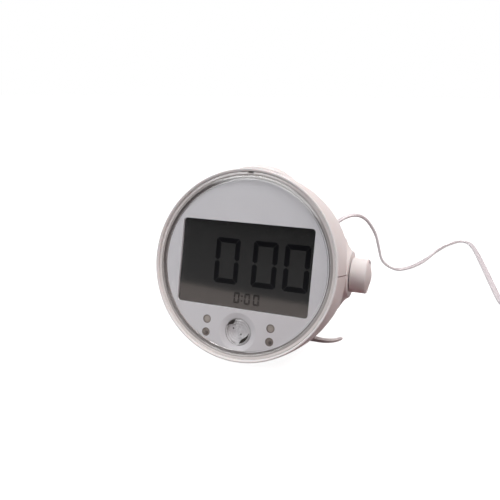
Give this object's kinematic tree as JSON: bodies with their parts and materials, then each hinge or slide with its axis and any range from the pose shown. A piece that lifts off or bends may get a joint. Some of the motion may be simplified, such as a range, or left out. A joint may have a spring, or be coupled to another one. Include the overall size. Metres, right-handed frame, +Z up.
{
  "type": "bed shaker alarm clock",
  "caption": "Round table alarm clock with a tilted LCD face, domed snooze button, side selector knob and slender stand, and a bed shaker puck on a flat lead.",
  "frame": {"origin": "on the table, on the stand's underside, straight below the centre of the face's rim", "axes": "+X to the knob's side, +Y from the face to the back, +Z up"},
  "size_m": [0.2817, 0.3159, 0.1057],
  "materials": {
    "case_white": "satin",
    "clear": "polished",
    "fascia_grey": "satin",
    "display": "gloss",
    "lens": "gloss",
    "pipe": "gloss",
    "dark_plastic": "matte",
    "white_plastic": "matte",
    "board": "satin",
    "steel": "zinc plated",
    "weight_brass": "turned",
    "rubber_grey": "matte",
    "paper": "pressed paper",
    "lead_white": "satin vinyl",
    "tie_black": "matte"
  },
  "bodies": {
    "clock": {"upper_case": "case_white", "lower_case": "case_white", "case_screws": "steel", "front_cover": "clear", "front_panel": "fascia_grey", "lcd_glass": "display", "lcd_frame": "white_plastic", "backlight_plate": "white_plastic", "contact_strips": "rubber_grey", "display_board": "board", "display_screws": "steel", "flash_lens": "lens", "lens_holder": "dark_plastic", "flash_led": "white_plastic", "light_pipes": "pipe", "indicator_leds": "white_plastic", "snooze_board": "board", "snooze_screws": "steel", "snooze_switch": "dark_plastic", "selector_switch": "dark_plastic", "rear_panel": "case_white", "main_board": "board", "board_screws": "steel", "dc_inlet": "dark_plastic", "shaker_jack": "dark_plastic", "volume_controls": "dark_plastic", "coin_cell": "steel", "coin_holder": "dark_plastic", "speaker": "steel", "speaker_cone": "paper", "stand_foot": "case_white", "stand_screws": "steel", "foot_pads": "rubber_grey", "lead_plug": "lead_white", "shaker_lead": "lead_white", "lead_coil": "lead_white", "lead_tie": "tie_black", "shaker_base": "case_white", "shaker_lid": "case_white", "shaker_screws": "steel", "shaker_boot": "lead_white", "shaker_motor": "steel"},
    "snooze": {"snooze_button": "case_white"},
    "knob": {"function_knob": "case_white", "selector_shaft": "white_plastic"},
    "knob_cap": {"knob_button": "case_white"},
    "volume": {"volume_wheel": "dark_plastic"},
    "tone": {"tone_wheel": "dark_plastic"},
    "coin_lid": {"coin_door": "case_white"},
    "weight": {"shaker_weight": "weight_brass"}
  },
  "joints": [
    {"name": "snooze_press", "type": "slide", "parent": "clock", "child": "snooze", "axis": [0, -0.2588, -0.9659], "range_m": [0, 0.0016], "stiffness_N_per_m": 600, "springref_m": -0.001},
    {"name": "selector_turn", "type": "hinge", "parent": "clock", "child": "knob", "pos_m": [0.0585, 0.03091, 0.04672], "axis": [1, 0, 0], "range_deg": [-135, 135]},
    {"name": "cap_press", "type": "slide", "parent": "knob", "child": "knob_cap", "axis": [-1, 0, 0], "range_m": [0, 0.0012], "stiffness_N_per_m": 600, "springref_m": -0.001},
    {"name": "volume_turn", "type": "hinge", "parent": "clock", "child": "volume", "pos_m": [-0.0095, 0.06465, 0.06252], "axis": [0, 0.2588, 0.9659], "range_deg": [-135, 135]},
    {"name": "tone_turn", "type": "hinge", "parent": "clock", "child": "tone", "pos_m": [0.0095, 0.06465, 0.06252], "axis": [0, 0.2588, 0.9659], "range_deg": [-135, 135]},
    {"name": "coin_lid_turn", "type": "hinge", "parent": "clock", "child": "coin_lid", "pos_m": [0, 0.06039, 0.02536], "axis": [0, 0.9659, -0.2588], "range_deg": [0, 45]},
    {"name": "weight_spin", "type": "hinge", "parent": "clock", "child": "weight", "pos_m": [0.19468, 0.02179, 0.0125], "axis": [-0.866, -0.5, 0], "continuous": true}
  ]
}
